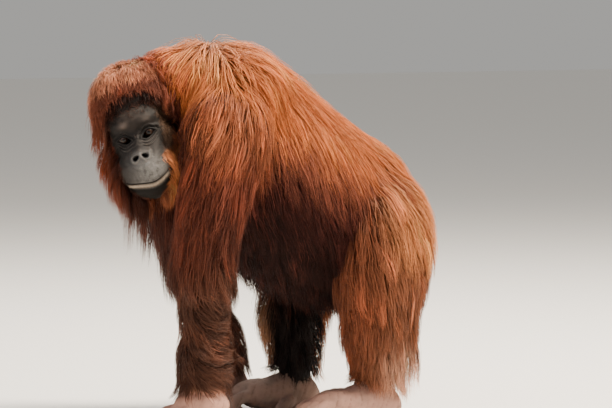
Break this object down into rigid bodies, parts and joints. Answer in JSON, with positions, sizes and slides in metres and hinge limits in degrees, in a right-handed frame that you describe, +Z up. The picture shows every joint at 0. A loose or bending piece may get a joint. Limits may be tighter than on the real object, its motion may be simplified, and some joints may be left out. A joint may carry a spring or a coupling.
{
  "type": "standing orangutan museum model",
  "caption": "Life-size still model of a young orangutan standing on all fours with its head turned to its left, in a long shaggy coat.",
  "frame": {"origin": "on the floor, under the middle of the model's bounding box", "axes": "-X is the way the body faces, -Y is the animal's left side, +Z is up"},
  "size_m": [0.6028, 0.4268, 0.6509],
  "materials": {
    "coat": "long coarse hair in overlapping locks, orange-red, soft sheen",
    "dark_coat": "long coarse hair, dark red-brown on the flanks and belly",
    "face_skin": "bare grey-brown skin, finely wrinkled, half matt",
    "ear_skin": "bare pinkish brown skin, half matt",
    "hand_skin": "bare pinkish brown skin, creased over the joints",
    "foot_skin": "bare pinkish brown skin, creased over the joints",
    "eyes": "wet, glossy, dark brown"
  },
  "bodies": {
    "root": {"eye_left": "eyes", "eye_right": "eyes", "face": "face_skin", "ear_left": "ear_skin", "ear_right": "ear_skin", "neck": "coat", "head": "coat", "chest": "coat", "belly": "dark_coat", "rump": "coat", "upper_arm_left": "coat", "upper_arm_right": "coat", "thigh_left": "coat", "thigh_right": "coat", "forearm_left": "coat", "forearm_right": "coat", "shin_left": "coat", "shin_right": "coat", "hand_left": "hand_skin", "foot_left": "foot_skin", "hand_right": "hand_skin", "foot_right": "foot_skin"}
  },
  "joints": []
}
